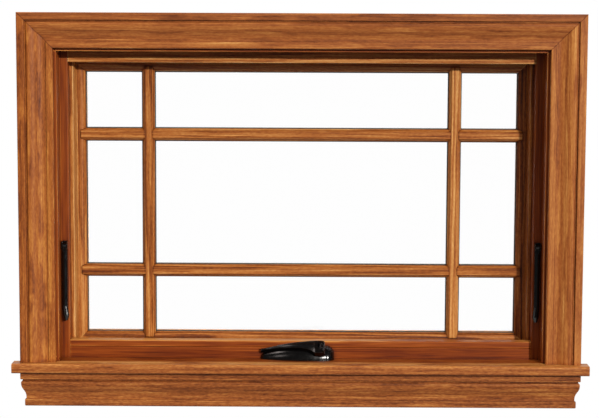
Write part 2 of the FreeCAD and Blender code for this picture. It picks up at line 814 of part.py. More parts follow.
loft = arm.newObject("PartDesign::AdditiveLoft", "crank_arm_loft")
loft.Profile = sections[0]
loft.Sections = sections[1:]
doc.recompute()


def across(body, name, draw, near, far):
    """Pads what draw puts on the body's XZ plane from y = near to y = far."""
    sketch = new_sketch(body, "XZ_Plane", name, lift=-far)
    draw(sketch)
    return pad(body, sketch, far - near)


def fork_neck(sketch):
    outline(sketch, [
        corner(S.arm_end, S.arm_end_lift),
        corner(S.hub_at, S.arm_end_lift),
        corner(S.hub_at, fork_top),
        corner(S.arm_end, fork_top),
    ])


def knuckle(sketch):
    round_hole(sketch, S.hub_at, S.hub_lift, S.hub_radius)


def hinge_pin(sketch):
    round_hole(sketch, S.hub_at, S.hub_lift, S.hub_pin)


arm_front = S.arm_back - S.arm_end_width
across(arm, "fork_neck", fork_neck, arm_front, S.arm_back)
across(arm, "fork_ends", knuckle, arm_front, S.arm_back)
slot = new_sketch(arm, "XY_Plane", "slot")
slot_half = S.hub_tongue / 2 + S.hub_play
slot_from = S.hub_at - S.hub_radius - S.hub_play
slot_to = S.hub_at + S.hub_radius + S.hub_play
outline(slot, [
    corner(slot_from, -slot_half),
    corner(slot_to, -slot_half),
    corner(slot_to, slot_half),
    corner(slot_from, slot_half),
])
pocket(arm, slot, both=True)
across(arm, "pin", hinge_pin, arm_front, S.arm_back)
place(keep(arm), -S.crank_left, stop_face, stool_top, axis=(1, 0, 0), turn=S.crank_tilt)

hub = new_body("crank_hub_blank")
hub_half = S.hub_tongue / 2
stem_foot = tail_z - S.hub_radius


def stem(sketch):
    outline(sketch, [
        corner(S.hub_at - S.hub_radius, stem_foot),
        corner(S.hub_at + S.hub_radius, stem_foot),
        corner(S.hub_at + S.hub_radius, S.hub_lift),
        corner(S.hub_at - S.hub_radius, S.hub_lift),
    ])


across(hub, "stem", stem, -hub_half, hub_half)
across(hub, "tongue", knuckle, -hub_half, hub_half)
pin_hole = new_sketch(hub, "XZ_Plane", "pin_hole")
round_hole(pin_hole, S.hub_at, S.hub_lift, S.hub_pin + S.pin_play)
pocket(hub, pin_hole, both=True)
place(hub, -S.crank_left, stop_face, stool_top, axis=(1, 0, 0), turn=S.crank_tilt)
keep(cut("crank_hub", hub, [cover]))

doc.recompute()
for item in doc.Objects:
    if "Invalid" in item.State or "Error" in item.State:
        raise RuntimeError(item.Label + " is not computed: " + str(item.State))
os.makedirs("parts", exist_ok=True)
for item in PIECES:
    if item.Shape.isNull() or not item.Shape.isValid():
        raise RuntimeError(item.Label + " has no valid shape")
    item.Shape.exportStep("parts/" + item.Label + ".step")
print(len(PIECES), "pieces written")
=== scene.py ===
# %% [markdown]
# # A stained wood awning window, seen from the room
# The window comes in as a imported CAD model, which already has every board, bar, pane and
# lever in its place. What is left for Blender is what the eye reads as real: stained wood
# that was cut from different boards, gloss black hardware, clear glass with its sealant
# line, a camera at the photograph's place and a plain studio light.

# %% Load the frame
import math
import bpy
from mathutils import Matrix, Vector


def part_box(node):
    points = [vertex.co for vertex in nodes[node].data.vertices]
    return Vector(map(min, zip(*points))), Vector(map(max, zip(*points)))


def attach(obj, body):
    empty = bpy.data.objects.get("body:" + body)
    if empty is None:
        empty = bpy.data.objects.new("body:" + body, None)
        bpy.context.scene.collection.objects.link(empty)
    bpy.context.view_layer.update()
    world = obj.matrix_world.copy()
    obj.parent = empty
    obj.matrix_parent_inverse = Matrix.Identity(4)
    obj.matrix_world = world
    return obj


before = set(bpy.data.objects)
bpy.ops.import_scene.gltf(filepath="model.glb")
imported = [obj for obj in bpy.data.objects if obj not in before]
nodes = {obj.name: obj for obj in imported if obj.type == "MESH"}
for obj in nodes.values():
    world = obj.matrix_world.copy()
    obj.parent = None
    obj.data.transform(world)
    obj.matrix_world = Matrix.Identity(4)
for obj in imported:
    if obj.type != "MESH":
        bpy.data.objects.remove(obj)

scene = bpy.context.scene
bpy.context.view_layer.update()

# %% [markdown]
# ## Colours, sizes and nodes
# A colour is easiest to choose as the hex that a picture shows, but a shader works in
# linear light, so one function turns one into the other. A pattern is known by its size in
# millimetres while Blender counts in metres, so a second one gives a texture's scale. A
# third adds a node with its settings, values and links, which keeps each material to a few
# readable lines.

# %% Colours and sizes
MM = 0.001


def linear(code):
    """Linear RGBA of an sRGB colour such as "b0682f"."""
    parts = [int(code[i:i + 2], 16) / 255 for i in (0, 2, 4)]
    return [c / 12.92 if c <= 0.04045 else ((c + 0.055) / 1.055) ** 2.4 for c in parts] + [1.0]


def scale_of(size):
    """Texture scale of a pattern whose spots are this many millimetres across."""
    return 1000 / size


print("a mid wood brown is", [round(c, 3) for c in linear("985525")])

# %% Nodes and materials
def add(tree, kind, inputs=None, stops=(), **settings):
    """A new node. An input is a value or an output to link from; stops fill a colour ramp."""
    node = tree.nodes.new(kind)
    for name, value in settings.items():
        setattr(node, name, value)
    for key, value in (inputs or {}).items():
        socket = node.inputs[key]
        if isinstance(value, bpy.types.NodeSocket):
            tree.links.new(value, socket)
        else:
            socket.default_value = value
    for number, (position, code) in enumerate(stops):
        elements = node.color_ramp.elements
        stop = elements[number] if number < len(elements) else elements.new(1.0)
        stop.position = position
        stop.color = linear(code)
    return node


def new_material(name):
    """An empty node material and its tree."""
    material = bpy.data.materials.new(name)
    material.use_nodes = True
    material.node_tree.nodes.clear()
    return material, material.node_tree


def wear(material, *names):
    """Gives CAD nodes a material. Their meshes stay as they are."""
    for name in names:
        slots = nodes[name].data.materials
        slots.clear()
        slots.append(material)


print(len(nodes), "CAD nodes wait for a material")

# %% [markdown]
# ## Stained wood
# Three woods show: golden brown trim round the opening, plain red-brown frame boards behind
# it, and straight-grained lighter sash wood. An image of wood would repeat and would not
# follow the boards, so the wood is built as it grows, from noise and from distances. One
# table says what differs from cut to cut: the layers of its figure, its growth rings, how
# far its edges are worn, and the colours from its darkest stain to its palest.

# %% The cuts of wood
# A layer is (length, width, weight, detail), the first two in millimetres. Real fibres and
# pores are finer than a pixel of the picture, so they are drawn about 2 mm wide to show.
# Wear pales the arrises: partly worn stain, partly a painted highlight where edges catch the light.
TRIM = {
    "layers": {
        "streaks": (160, 3.5, 0.2, 2), "fibres": (75, 1.7, 0.42, 2),
        "patches": (110, 34, 0.34, 2), "bands": (420, 13, 0.3, 2), "pores": (8, 1.8, 0.6, 1),
    },
    "ring": 9.0, "ring_weight": 0.12, "wander": 18.0, "fleck": 0.14, "wear": 0.15,
    "stops": [(0.0, "2f1507"), (0.25, "6b3412"), (0.5, "985525"), (0.75, "bb7a3c"),
              (1.0, "dba661")],
}
SASH = {
    "layers": {
        "streaks": (420, 4, 0.7, 3), "fibres": (110, 1.7, 0.8, 2),
        "patches": (160, 25, 0.3, 2), "pores": (7, 2.0, 0.35, 1),
    },
    "ring": 5.0, "ring_weight": 0.24, "wander": 5.0, "fleck": 0.0, "wear": 0.9,
    "stops": [(0.0, "40190a"), (0.25, "783b10"), (0.5, "a76229"), (0.75, "c68b4b"),
              (1.0, "e6b678")],
}
FRAME_WOOD = {
    "layers": {
        "streaks": (260, 7, 0.55, 3), "fibres": (80, 2.2, 0.75, 2), "patches": (200, 60, 0.4, 2),
    },
    "ring": 9.0, "ring_weight": 0.08, "wander": 8.0, "fleck": 0.0, "wear": 0.8,
    "stops": [(0.0, "3a1202"), (0.25, "642503"), (0.5, "853d0e"), (0.75, "a2561c"),
              (1.0, "c98a44")],
}
# a board with broad golden patches, and one that is plainer
GOLDEN_TRIM = dict(TRIM, layers=dict(
    TRIM["layers"], patches=(70, 26, 0.55, 2), pores=(8, 2.0, 0.42, 1),
), stops=[(0.0, "2f1507"), (0.25, "6d3411"), (0.5, "9a5520"), (0.75, "bd7c36"), (1.0, "dfab5b")])
CALM_TRIM = dict(TRIM, layers={
    "streaks": (160, 3.5, 0.16, 2), "fibres": (75, 1.7, 0.4, 2),
    "patches": (110, 34, 0.3, 2), "bands": (420, 9, 0.38, 2), "pores": (8, 2.0, 0.34, 1),
})
BAR = dict(SASH, wear=-0.25)        # on the bars the edges are darker instead of paler
for title, cut in (("trim", TRIM), ("sash", SASH), ("frame", FRAME_WOOD)):
    print(title, "wood has a figure of", ", ".join(cut["layers"]))

# %% [markdown]
# ### A board's place in its tree
# Every board was sawn from another part of a trunk, some way from the pith and never quite
# along the grain. The coordinates of the object are moved to the board's middle, turned so
# that X runs along the grain, and shifted to a place in the trunk that no other board has.
# A new random number for each board would do too, but a place keeps the rings true.

# %% A board's place in its tree
TRUNK_STEP = 0.731                  # metres along the trunk from one board to the next
PITH_GAP, PITH_STEP = 0.03, 0.012   # metres from the pith, and the steps it varies by
SAW_LEAN = 0.6                      # degrees between the saw cut and the grain


def trunk_place(tree, spot, name, grain, number):
    """Where a point of the board was in the trunk, with the grain along X."""
    low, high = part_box(name)
    centre = (Vector(low) + Vector(high)) / 2
    upright = math.pi / 2 if grain == "Z" else 0.0
    turn = (0.0, upright, math.radians((-1) ** number * SAW_LEAN))
    place = Vector((
        TRUNK_STEP * number, PITH_GAP + PITH_STEP * (number % 4), PITH_STEP * (number % 5 - 2),
    ))
    centred = add(tree, "ShaderNodeVectorMath", {
        0: spot, 1: centre,
    }, operation="SUBTRACT").outputs[0]
    return add(tree, "ShaderNodeMapping", {
        "Vector": centred, "Rotation": turn, "Location": place,
    }).outputs[0]


farthest = PITH_GAP + 3 * PITH_STEP
print("board middles lie", round(PITH_GAP / MM), "to", round(farthest / MM), "mm behind the pith")

# %% [markdown]
# ### Figure and growth rings
# What runs along a board is noise that is stretched along the grain: streaks and fibres are
# thin, patches and bands are wide, pores are short. They add up to one tone. Growth rings
# are the distance from the pith divided by the ring spacing. The fraction of that is the
# season: late wood darkens slowly and ends quickly. A wave texture could draw such lines,
# but rings round a pith also open into arches where the cut runs off the grain.

# %% Figure and growth rings
LATE_STARTS, LATE_ENDS = 0.25, 0.85     # in shares of a year


def figure(tree, along, layers, level):
    """One tone from all the layers, whose mean is the level, and each layer's own noise."""
    tone = level - sum(weight for _, _, weight, _ in layers.values()) / 2
    spots = {}
    for layer, (length, width, weight, detail) in layers.items():
        size = (scale_of(length), scale_of(width), scale_of(width))
        stretched = add(tree, "ShaderNodeVectorMath", {
            0: along, 1: size,
        }, operation="MULTIPLY").outputs[0]
        spots[layer] = add(tree, "ShaderNodeTexNoise", {
            "Vector": stretched, "Scale": 1.0, "Detail": detail,
            "Roughness": 0.6, "Distortion": 0.2,
        }).outputs[0]
        tone = add(tree, "ShaderNodeMath", {
            0: spots[layer], 1: weight, 2: tone,
        }, operation="MULTIPLY_ADD").outputs[0]
    return tone, spots


def late_wood(tree, along, patches, cut):
    """The dark line of each year, on rings that wander by a few millimetres."""
    across = add(tree, "ShaderNodeVectorMath", {
        0: along, 1: (0, 1, 1),
    }, operation="MULTIPLY").outputs[0]
    reach = add(tree, "ShaderNodeVectorMath", {0: across}, operation="LENGTH").outputs["Value"]
    wander = add(tree, "ShaderNodeMath", {
        0: patches, 1: cut["wander"] * MM, 2: reach,
    }, operation="MULTIPLY_ADD").outputs[0]
    rings = add(tree, "ShaderNodeMath", {
        0: wander, 1: scale_of(cut["ring"]),
    }, operation="MULTIPLY").outputs[0]
    year = add(tree, "ShaderNodeMath", {0: rings}, operation="FRACT").outputs[0]
    darkens = add(tree, "ShaderNodeMapRange", {
        "Value": year, "From Min": LATE_STARTS, "From Max": LATE_ENDS,
    }, interpolation_type="SMOOTHSTEP").outputs[0]
    ends = add(tree, "ShaderNodeMapRange", {
        "Value": year, "From Min": LATE_ENDS, "From Max": 1.0, "To Min": 1.0, "To Max": 0.0,
    }).outputs[0]
    return add(tree, "ShaderNodeMath", {0: darkens, 1: ends}, operation="MULTIPLY").outputs[0]


print("rings are", TRIM["ring"], "mm apart in the trim and", SASH["ring"], "mm in the sash")

# %% [markdown]
# ### Mitres and the casing's band
# Casing and glazing beads meet in mitres, which show as thin dark lines. The boards do meet
# there in the CAD model, but a closed joint has no width to see, so the line is stained. A
# mitre lies where a point is as far in from the upright edge of its rectangle as from the
# level one. The lesser of the two distances also finds the flat band along the outer edge,
# which is painted darker on two of the casing's boards: painted shade, where the band
# catches less light than the field beside it.

# %% Mitres and the casing's band
CASING = ("head_casing", "left_casing", "right_casing")
BEADS = ("left_glazing_bead", "right_glazing_bead", "top_glazing_bead", "bottom_glazing_bead")
FAR_DOWN = 5.0              # the casing has no mitre at its foot, so its rectangle ends far below
MITRE_STAIN = 0.22
MITRE_LINE = (0.5 * MM, 2.0 * MM)       # dark up to the first distance, gone at the second
BAND = 13.5 * MM                        # width of the flat band
# painted shade on the flat band of two casing boards
BAND_SHADE = {"head_casing": 0.09, "left_casing": 0.1}


def outline_of(*names):
    """Middle and half size, in X and Z, of the rectangle that some nodes fill."""
    boxes = [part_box(name) for name in names]
    low = [min(box[0][axis] for box in boxes) for axis in (0, 2)]
    high = [max(box[1][axis] for box in boxes) for axis in (0, 2)]
    return [(a + b) / 2 for a, b in zip(low, high)], [(b - a) / 2 for a, b in zip(low, high)]


(across_middle, up_middle), (across_half, up_half) = outline_of(*CASING)
long_casing = (across_middle, up_middle - FAR_DOWN), (across_half, up_half + FAR_DOWN)
MITRED = {name: long_casing for name in CASING} | {name: outline_of(*BEADS) for name in BEADS}


def joinery_marks(tree, here, name):
    """Marks of a mitred board: its joint lines and, on two casing boards, its band darkened as
    painted shade.
    """
    inward = []
    for axis, middle, half in zip("XZ", *MITRED[name]):
        off = add(tree, "ShaderNodeMath", {
            0: here[axis], 1: middle,
        }, operation="SUBTRACT").outputs[0]
        far = add(tree, "ShaderNodeMath", {0: off}, operation="ABSOLUTE").outputs[0]
        inside = add(tree, "ShaderNodeMath", {0: half, 1: far}, operation="SUBTRACT").outputs[0]
        inward.append(inside)
    both = dict(enumerate(inward))
    apart = add(tree, "ShaderNodeMath", both, operation="SUBTRACT").outputs[0]
    gap = add(tree, "ShaderNodeMath", {0: apart}, operation="ABSOLUTE").outputs[0]
    joint = add(tree, "ShaderNodeMapRange", {
        "Value": gap, "From Min": MITRE_LINE[0], "From Max": MITRE_LINE[1],
        "To Min": 1.0, "To Max": 0.0,
    }).outputs[0]
    marks = [(joint, -MITRE_STAIN, 0.0)]
    if name in BAND_SHADE:
        nearest = add(tree, "ShaderNodeMath", both, operation="MINIMUM").outputs[0]
        band = add(tree, "ShaderNodeMath", {0: nearest, 1: BAND}, operation="LESS_THAN").outputs[0]
        marks.append((band, -BAND_SHADE[name], 0.0))
    return marks


print("mitres on", len(MITRED), "boards, casing", round(2 * across_half, 3), "m wide")

# %% [markdown]
# ### Stain, wear, painted shade and highlight, and varnish
# Stain pools in corners and is rubbed off along sharp edges, which are called arrises. On
# top of that, the corners are painted darker as shade and the arrises paler as highlight,
# where less light reaches into a corner and an edge catches it. The Ambient Occlusion node
# finds both: outwards it sees how close the next surface is, inwards how thin the wood is
# at an edge. These marks move the tone up or down, a colour ramp turns the tone into stain,
# and a satin varnish closes it. Edges could be bevelled in the mesh, but the CAD meshes
# stay as they are, so the Bevel node eases them in the shading alone.

# %% Stain, wear, painted shade and highlight, and varnish
ARRIS, CORNER = 2.5 * MM, 7 * MM        # how far arris wear with painted highlight, and corner stain with painted shade, reach
# corner darkening: pooled stain and painted shade
CORNER_SHADE_AND_STAIN = 0.34
FLECKS = (0.54, 0.7)                    # streaks paler than this turn into golden flecks
PAINTED_TOP_SHEEN = {"stool": 0.24, "sill_stop": 0.45}     # upward faces painted paler in patches: a painted sheen
REAR_STRIP = [(0.2, "4a1a04"), (0.6, "803a0c"), (1.0, "a85c22")]    # red wood behind the wall line
wall_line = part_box("left_jamb")[0][1]


def wood_marks(tree, along, spots, cut):
    """Rings, flecks, arrises paler from wear and painted highlight, corners darker from stain and
    painted shade, each with its weight and mean.
    """
    line = late_wood(tree, along, spots["patches"], cut)
    fleck = add(tree, "ShaderNodeMapRange", {
        "Value": spots["streaks"], "From Min": FLECKS[0], "From Max": FLECKS[1],
    }, interpolation_type="SMOOTHSTEP").outputs[0]
    # arrises: worn stain and a painted highlight
    arris_wear_and_highlight = add(tree, "ShaderNodeAmbientOcclusion", {
        "Distance": ARRIS,
    }, inside=True, only_local=True, samples=8).outputs["AO"]
    # corners: pooled stain and painted shade
    corner_shade_and_stain = add(tree, "ShaderNodeAmbientOcclusion", {"Distance": CORNER}, samples=8).outputs["AO"]
    return [(line, -cut["ring_weight"], 0.4), (fleck, cut["fleck"], 0.15),
            (arris_wear_and_highlight, -cut["wear"], 1.0), (corner_shade_and_stain, CORNER_SHADE_AND_STAIN, 1.0)]


def varnish(tree, colour, fibres):
    """Brushed satin varnish: soft gloss that follows the fibres, over eased edges."""
    gloss = add(tree, "ShaderNodeMapRange", {
        "Value": fibres, "From Min": 0.3, "From Max": 0.7, "To Min": 0.5, "To Max": 0.38,
    }).outputs[0]
    rounded = add(tree, "ShaderNodeBevel", {"Radius": 1.5 * MM}, samples=4).outputs[0]
    bump = add(tree, "ShaderNodeBump", {
        "Height": fibres, "Strength": 0.15, "Distance": 0.3 * MM, "Normal": rounded,
    }).outputs[0]
    shader = add(tree, "ShaderNodeBsdfPrincipled", {
        "Base Color": colour, "Roughness": gloss, "Normal": bump,
        "IOR": 1.5, "Specular IOR Level": 0.2,
    }).outputs[0]
    add(tree, "ShaderNodeOutputMaterial", {"Surface": shader})


print("the wall line is", round(wall_line / MM, 1), "mm from the origin")

# %% One board's stained wood
def stained_wood(name, grain, cut, level, number):
    """Varnished stained wood: fine lines along the board, soft gloss, edges that show wear and a
    painted highlight, corners with painted shade.
    """
    material, tree = new_material("stained wood " + name)
    spot = add(tree, "ShaderNodeTexCoord").outputs["Object"]
    here = add(tree, "ShaderNodeSeparateXYZ", {0: spot}).outputs
    along = trunk_place(tree, spot, name, grain, number)
    tone, spots = figure(tree, along, cut["layers"], level)
    marks = wood_marks(tree, along, spots, cut)
    if name in MITRED:
        marks += joinery_marks(tree, here, name)
    for value, weight, mean in marks:
        above = add(tree, "ShaderNodeMath", {0: value, 1: mean}, operation="SUBTRACT").outputs[0]
        tone = add(tree, "ShaderNodeMath", {
            0: above, 1: weight, 2: tone,
        }, operation="MULTIPLY_ADD").outputs[0]
    # upward faces painted paler in patches: a painted sheen of light on the tops
    if name in PAINTED_TOP_SHEEN:
        facing = add(tree, "ShaderNodeNewGeometry").outputs["Normal"]
        upward = add(tree, "ShaderNodeSeparateXYZ", {0: facing}).outputs["Z"]
        painted_sheen = add(tree, "ShaderNodeMapRange", {
            "Value": spots["patches"], "From Min": 0.36, "From Max": 0.5, "To Max": PAINTED_TOP_SHEEN[name],
        }).outputs[0]
        tone = add(tree, "ShaderNodeMath", {
            0: upward, 1: painted_sheen, 2: tone,
        }, operation="MULTIPLY_ADD").outputs[0]
    colour = add(tree, "ShaderNodeValToRGB", {"Fac": tone}, stops=cut["stops"]).outputs["Color"]
    if name == "stool":
        # from the wall line outwards it is a strip of the red frame wood
        red = add(tree, "ShaderNodeValToRGB", {"Fac": tone}, stops=REAR_STRIP).outputs["Color"]
        inner = add(tree, "ShaderNodeMath", {
            0: here["Y"], 1: wall_line,
        }, operation="GREATER_THAN").outputs[0]
        # a colour mix has its two colours on sockets 6 and 7
        colour = add(tree, "ShaderNodeMix", {
            0: inner, 6: colour, 7: red,
        }, data_type="RGBA").outputs[2]
    varnish(tree, colour, spots["fibres"])
    return material


# the tops that carry a painted sheen
print("rubbed pale on top:", ", ".join(PAINTED_TOP_SHEEN))

# %% [markdown]
# ### Every board
# A joiner takes what the stack gives, so no two boards of the window match in tone. Each
# board gets its own material, with its grain along its length, its cut of wood and a level
# of tone that was matched to the photograph's board. On the right side, which lies in the
# casing's shadow, the stile, its bead and the stop are set darker still: painted shade on
# top of their own tone. The order counts, since a board's number is its place in the tree.

# %% Stain every board
# sash_right_stile, right_glazing_bead and right_stop sit lower in tone: painted shade of the right
# side
BOARDS = {
    "head_casing": ("X", CALM_TRIM, 0.51), "left_casing": ("Z", GOLDEN_TRIM, 0.5),
    "right_casing": ("Z", CALM_TRIM, 0.59), "stool": ("X", TRIM, 0.52), "apron": ("X", TRIM, 0.46),
    "head_jamb": ("X", FRAME_WOOD, 0.5), "left_jamb": ("Z", FRAME_WOOD, 0.5),
    "right_jamb": ("Z", FRAME_WOOD, 0.5), "frame_sill": ("X", FRAME_WOOD, 0.5),
    "head_stop": ("X", SASH, 0.5), "left_stop": ("Z", FRAME_WOOD, 0.48),
    "right_stop": ("Z", FRAME_WOOD, 0.45), "cover_board": ("X", FRAME_WOOD, 0.4),
    "sill_stop": ("X", FRAME_WOOD, 0.5),
    "sash_left_stile": ("Z", SASH, 0.57), "sash_right_stile": ("Z", SASH, 0.34),
    "sash_top_rail": ("X", SASH, 0.5), "sash_bottom_rail": ("X", SASH, 0.45),
    "left_glazing_bead": ("Z", SASH, 0.45), "right_glazing_bead": ("Z", SASH, 0.28),
    "top_glazing_bead": ("X", SASH, 0.5), "bottom_glazing_bead": ("X", SASH, 0.36),
    "left_bar": ("Z", BAR, 0.43), "right_bar": ("Z", BAR, 0.58),
    "upper_bars": ("X", BAR, 0.47), "lower_bars": ("X", BAR, 0.42),
    "outer_left_bar": ("Z", BAR, 0.5), "outer_right_bar": ("Z", BAR, 0.5),
    "outer_upper_bars": ("X", BAR, 0.5), "outer_lower_bars": ("X", BAR, 0.5),
}
for number, (board, (grain, cut, level)) in enumerate(BOARDS.items(), start=1):
    wear(stained_wood(board, grain, cut, level, number), board)
print(len(BOARDS), "boards stained")

# %% [markdown]
# ## Gloss black hardware
# The crank and the two sash locks are die castings with baked black enamel. A pure black
# would lose its form, so the black is a very dark brown-grey whose gloss shows the room,
# with the faint ripple that sprayed enamel dries with and a thinner coat along the edges.

# %% Gloss black enamel
RIPPLE = 6              # millimetres
THIN_COAT = 1.2 * MM    # how far in from an edge the coat is thinner
HARDWARE = ["left_lock_plate", "left_lock_lever", "right_lock_plate", "right_lock_lever",
            "crank_cover", "crank_hub", "crank_arm"]


def gloss_black_enamel():
    """Baked enamel on cast zinc: near black, sharp highlights that waver slightly."""
    material, tree = new_material("gloss black enamel")
    spot = add(tree, "ShaderNodeTexCoord").outputs["Object"]
    ripple = add(tree, "ShaderNodeTexNoise", {
        "Vector": spot, "Scale": scale_of(RIPPLE), "Detail": 2.0,
    }).outputs[0]
    edge = add(tree, "ShaderNodeAmbientOcclusion", {
        "Distance": THIN_COAT,
    }, inside=True, only_local=True, samples=8).outputs["AO"]
    colour = add(tree, "ShaderNodeValToRGB", {"Fac": edge},
                 stops=[(0.35, "140f0d"), (0.8, "050404")]).outputs["Color"]
    gloss = add(tree, "ShaderNodeMapRange", {
        "Value": ripple, "From Min": 0.3, "From Max": 0.7, "To Min": 0.16, "To Max": 0.26,
    }).outputs[0]
    rounded = add(tree, "ShaderNodeBevel", {"Radius": 0.8 * MM}, samples=4).outputs[0]
    bump = add(tree, "ShaderNodeBump", {
        "Height": ripple, "Strength": 0.12, "Distance": 0.5 * MM, "Normal": rounded,
    }).outputs[0]
    shader = add(tree, "ShaderNodeBsdfPrincipled", {
        "Base Color": colour, "Roughness": gloss, "Normal": bump, "IOR": 1.5,
    }).outputs[0]
    add(tree, "ShaderNodeOutputMaterial", {"Surface": shader})
    return material


wear(gloss_black_enamel(), *HARDWARE)
print("enamel on", ", ".join(HARDWARE))

# %% [markdown]
# ## Glass and spacer
# Two float panes stand apart on a metal spacer. Glass could be a real refracting solid,
# but light bent at four faces is slow and noisy, and a flat pane shows none of the bend.
# So the panes transmit plainly, keep a weak reflection, and cast no shadow. The spacer is
# a roll-formed strip, dull and grey, that shows only as a thin line from an angle.

# %% Clear float glass
PANES = ("inner_pane", "outer_pane")
FLOAT_WAVE = 150        # millimetres
WHITE = linear("ffffff")


def clear_float_glass():
    """Flat clear glass: what is behind shows unchanged, with a weak mirror on top."""
    material, tree = new_material("clear float glass")
    spot = add(tree, "ShaderNodeTexCoord").outputs["Object"]
    wave = add(tree, "ShaderNodeTexNoise", {
        "Vector": spot, "Scale": scale_of(FLOAT_WAVE), "Detail": 1.0,
    }).outputs[0]
    bump = add(tree, "ShaderNodeBump", {
        "Height": wave, "Strength": 0.05, "Distance": 0.2 * MM,
    }).outputs[0]
    shader = add(tree, "ShaderNodeBsdfPrincipled", {
        "Base Color": WHITE, "Roughness": 0.0, "Normal": bump, "IOR": 1.25,
        "Specular IOR Level": 0.02, "Transmission Weight": 1.0,
    }).outputs[0]
    add(tree, "ShaderNodeOutputMaterial", {"Surface": shader})
    return material


wear(clear_float_glass(), *PANES)
for name in PANES:
    nodes[name].visible_shadow = False
print("glass in", ", ".join(PANES))

# %% Mill finish aluminium
ROLL_LINES = (40, 1.5, 40)      # millimetres: long along the strip, fine across it


def mill_finish_aluminium():
    """Roll-formed aluminium: satin grey with fine lines along the strip."""
    material, tree = new_material("mill finish aluminium")
    spot = add(tree, "ShaderNodeTexCoord").outputs["Object"]
    lines = add(tree, "ShaderNodeVectorMath", {
        0: spot, 1: [scale_of(size) for size in ROLL_LINES],
    }, operation="MULTIPLY").outputs[0]
    brushed = add(tree, "ShaderNodeTexNoise", {"Vector": lines, "Scale": 1.0}).outputs[0]
    gloss = add(tree, "ShaderNodeMapRange", {
        "Value": brushed, "To Min": 0.4, "To Max": 0.6,
    }).outputs[0]
    colour = add(tree, "ShaderNodeValToRGB", {"Fac": brushed},
                 stops=[(0.3, "5c625f"), (0.7, "7d8480")]).outputs["Color"]
    shader = add(tree, "ShaderNodeBsdfPrincipled", {
        "Base Color": colour, "Roughness": gloss, "Metallic": 0.6,
    }).outputs[0]
    add(tree, "ShaderNodeOutputMaterial", {"Surface": shader})
    return material


wear(mill_finish_aluminium(), "glass_spacer")
print("aluminium on glass_spacer")

# %% [markdown]
# ## Sealant line
# Where wood meets glass, a thin grey cord of sealant shows as a dark line round each of
# the nine lights. It repeats, so Geometry Nodes makes it: one point in each light carries
# the light's size, a square curve is set on each point and stretched to fit, and a small
# circle is swept along all of them at once, so every cord has the same thickness.

# %% One point for each light of glass
CORD = 1.2 * MM         # radius, a little of it sunk in wood and glass


def edge_of(name, side, axis):
    """A node's lowest (0) or highest (1) coordinate on an axis."""
    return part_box(name)[side][axis]


columns = [
    (edge_of("left_glazing_bead", 1, 0), edge_of("left_bar", 0, 0)),
    (edge_of("left_bar", 1, 0), edge_of("right_bar", 0, 0)),
    (edge_of("right_bar", 1, 0), edge_of("right_glazing_bead", 0, 0)),
]
rows = [
    (edge_of("bottom_glazing_bead", 1, 2), edge_of("lower_bars", 0, 2)),
    (edge_of("lower_bars", 1, 2), edge_of("upper_bars", 0, 2)),
    (edge_of("upper_bars", 1, 2), edge_of("top_glazing_bead", 0, 2)),
]
cord_depth = edge_of("inner_pane", 0, 1) - CORD / 3
lights = [(left, right, foot, top) for left, right in columns for foot, top in rows]
points = bpy.data.meshes.new("sealant_points")
points.from_pydata([
    ((left + right) / 2, cord_depth, (foot + top) / 2) for left, right, foot, top in lights
], [], [])
span = points.attributes.new("span", "FLOAT_VECTOR", "POINT")
for number, (left, right, foot, top) in enumerate(lights):
    span.data[number].vector = (right - left - CORD, top - foot - CORD, 1.0)
print(len(lights), "lights of glass")

# %% Grey silicone sealant
TOOLING = 8             # millimetres


def grey_silicone_sealant():
    """Silicone glazing sealant: dull grey-green rubber with a faint tooling ripple."""
    material, tree = new_material("grey silicone sealant")
    spot = add(tree, "ShaderNodeTexCoord").outputs["Object"]
    ripple = add(tree, "ShaderNodeTexNoise", {
        "Vector": spot, "Scale": scale_of(TOOLING), "Detail": 2.0,
    }).outputs[0]
    colour = add(tree, "ShaderNodeValToRGB", {"Fac": ripple},
                 stops=[(0.3, "2c3434"), (0.7, "4a5454")]).outputs["Color"]
    bump = add(tree, "ShaderNodeBump", {
        "Height": ripple, "Strength": 0.3, "Distance": 0.3 * MM,
    }).outputs[0]
    shader = add(tree, "ShaderNodeBsdfPrincipled", {
        "Base Color": colour, "Roughness": 0.6, "Normal": bump, "IOR": 1.41,
    }).outputs[0]
    add(tree, "ShaderNodeOutputMaterial", {"Surface": shader})
    return material


sealant_finish = grey_silicone_sealant()
print(sealant_finish.name, "mixed")

# %% The tree that sweeps a cord round every light
cords = bpy.data.node_groups.new("sealant cords", "GeometryNodeTree")
cords.interface.new_socket("Geometry", in_out="INPUT", socket_type="NodeSocketGeometry")
CORD_INPUTS = (("Cord Radius", "Float"), ("Corner Radius", "Float"), ("Material", "Material"))
thickness, rounding, finish = (
    cords.interface.new_socket(title, in_out="INPUT", socket_type="NodeSocket" + kind)
    for title, kind in CORD_INPUTS
)
cords.interface.new_socket("Geometry", in_out="OUTPUT", socket_type="NodeSocketGeometry")
given = add(cords, "NodeGroupInput").outputs
square = add(cords, "GeometryNodeCurvePrimitiveQuadrilateral", {
    "Width": 1.0, "Height": 1.0,
}).outputs[0]
size = add(cords, "GeometryNodeInputNamedAttribute", {
    "Name": "span",
}, data_type="FLOAT_VECTOR").outputs[0]
placed = add(cords, "GeometryNodeInstanceOnPoints", {
    "Points": given["Geometry"], "Instance": square,
    "Rotation": (math.pi / 2, 0, 0), "Scale": size,
}).outputs[0]
realized = add(cords, "GeometryNodeRealizeInstances", {"Geometry": placed}).outputs[0]
eased = add(cords, "GeometryNodeFilletCurve", {
    "Curve": realized, "Radius": given["Corner Radius"], "Count": 3,
}, mode="POLY").outputs[0]
profile = add(cords, "GeometryNodeCurvePrimitiveCircle", {
    "Resolution": 8, "Radius": given["Cord Radius"],
}).outputs[0]
swept = add(cords, "GeometryNodeCurveToMesh", {"Curve": eased, "Profile Curve": profile}).outputs[0]
